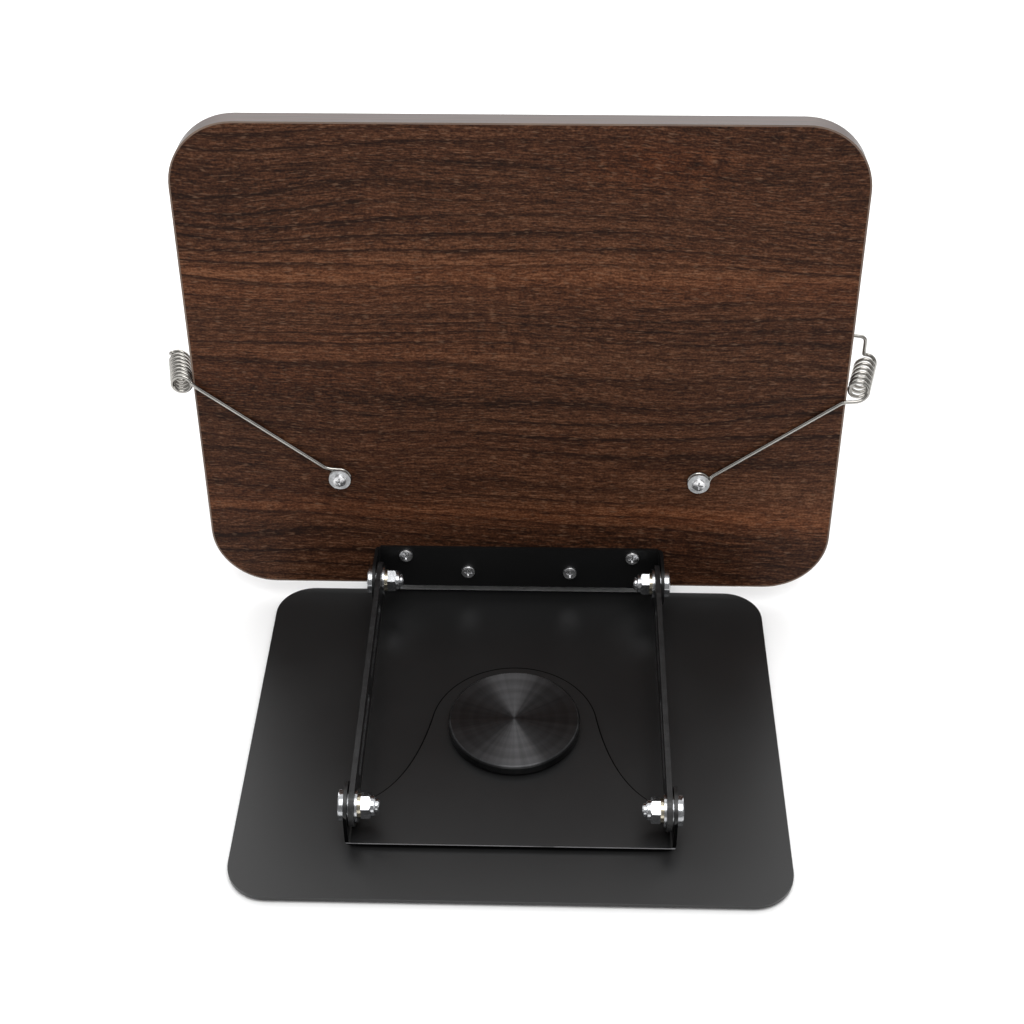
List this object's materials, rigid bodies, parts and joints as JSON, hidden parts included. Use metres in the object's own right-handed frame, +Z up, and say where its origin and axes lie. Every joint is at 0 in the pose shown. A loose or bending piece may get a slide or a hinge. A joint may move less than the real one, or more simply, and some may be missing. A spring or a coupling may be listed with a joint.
{
  "type": "photo album stand",
  "caption": "Tilting stand for a photo album: a laminated wood board with a steel ledge and sprung wire page clips, on folding arms over a swivel steel base.",
  "frame": {"origin": "on the swivel axis at the surface the stand rests on, the centre of the underside of the centre pad", "axes": "+Z up along the swivel axis; +X along the base plate's and the board's width; the album side of the board faces -Y and the pivots' and clips' fixings face +Y"},
  "size_m": [0.3353, 0.2343, 0.25],
  "materials": {
    "black_steel": "satin black powder coat",
    "black_disc": "black anodised, spun face",
    "zinc": "bright zinc plate",
    "spring_washer_zinc": "warm zinc plate",
    "stainless_wire": "drawn stainless wire",
    "walnut_laminate": "dark walnut laminate",
    "walnut_edge": "satin edge band",
    "rubber": "matte rubber",
    "nylon": "natural nylon",
    "soft_tip": "soft vinyl sleeve",
    "white_zinc": "light zinc washer"
  },
  "bodies": {
    "base": {"base_plate": "black_steel", "rubber_feet": "rubber", "centre_pad": "rubber", "hub_screws": "zinc", "swivel_disc": "black_disc", "lower_thrust_washer": "nylon", "upper_thrust_washer": "nylon"},
    "turntable": {"swivel_bracket": "black_steel", "lower_pivot_bolts": "zinc", "lower_ear_washers": "zinc", "lower_flat_washers": "zinc", "lower_spring_washers": "spring_washer_zinc", "lower_lock_nuts": "zinc"},
    "arms": {"left_arm": "black_steel", "right_arm": "black_steel"},
    "upper_pivots": {"upper_pivot_bolts": "zinc", "upper_ear_washers": "zinc", "upper_flat_washers": "zinc", "upper_spring_washers": "spring_washer_zinc", "upper_lock_nuts": "zinc"},
    "board": {"board_panel": "walnut_laminate", "edge_band": "walnut_edge", "board_bracket": "black_steel", "bracket_screws": "zinc", "clip_screws": "zinc", "clip_washers": "white_zinc"},
    "left_clip": {"left_clip_leg": "stainless_wire", "left_clip_coil": "stainless_wire"},
    "left_clip_front": {"left_clip_arm": "stainless_wire", "left_clip_tip": "soft_tip"},
    "right_clip": {"right_clip_leg": "stainless_wire", "right_clip_coil": "stainless_wire"},
    "right_clip_front": {"right_clip_arm": "stainless_wire", "right_clip_tip": "soft_tip"}
  },
  "joints": [
    {"name": "swivel", "type": "hinge", "parent": "base", "child": "turntable", "pos_m": [0, 0, 0.006], "axis": [0, 0, 1], "continuous": true},
    {"name": "arm_lift", "type": "hinge", "parent": "turntable", "child": "arms", "pos_m": [0, 0.0587, 0.01895], "axis": [-1, 0, 0], "range_deg": [0, 90]},
    {"name": "upper_pivot_level", "type": "hinge", "parent": "arms", "child": "upper_pivots", "pos_m": [0, -0.08119, 0.02271], "axis": [-1, 0, 0], "range_deg": [-90, 0]},
    {"name": "board_tilt", "type": "hinge", "parent": "upper_pivots", "child": "board", "pos_m": [0, -0.08119, 0.02271], "axis": [-1, 0, 0], "range_deg": [-2, 95]},
    {"name": "left_clip_swing", "type": "hinge", "parent": "board", "child": "left_clip", "pos_m": [0.0856, -0.09854, 0.07276], "axis": [0, 0.996, 0.0896], "range_deg": [0, 30]},
    {"name": "left_clip_lift", "type": "hinge", "parent": "left_clip", "child": "left_clip_front", "pos_m": [0.1615, -0.12687, 0.12091], "axis": [0, -0.0896, 0.996], "range_deg": [0, 60], "stiffness_Nm_per_rad": 0.6, "springref_deg": -11.46, "deforming": ["left_clip_coil"]},
    {"name": "right_clip_swing", "type": "hinge", "parent": "board", "child": "right_clip", "pos_m": [-0.0856, -0.09854, 0.07276], "axis": [0, 0.996, 0.0896], "range_deg": [-30, 0]},
    {"name": "right_clip_lift", "type": "hinge", "parent": "right_clip", "child": "right_clip_front", "pos_m": [-0.163, -0.12976, 0.12065], "axis": [0, -0.0896, 0.996], "range_deg": [-60, 0], "stiffness_Nm_per_rad": 0.6, "springref_deg": 11.46, "deforming": ["right_clip_coil"]}
  ],
  "couplings": [
    {"joint": "arm_lift", "follows": "upper_pivot_level", "ratio": -1}
  ]
}
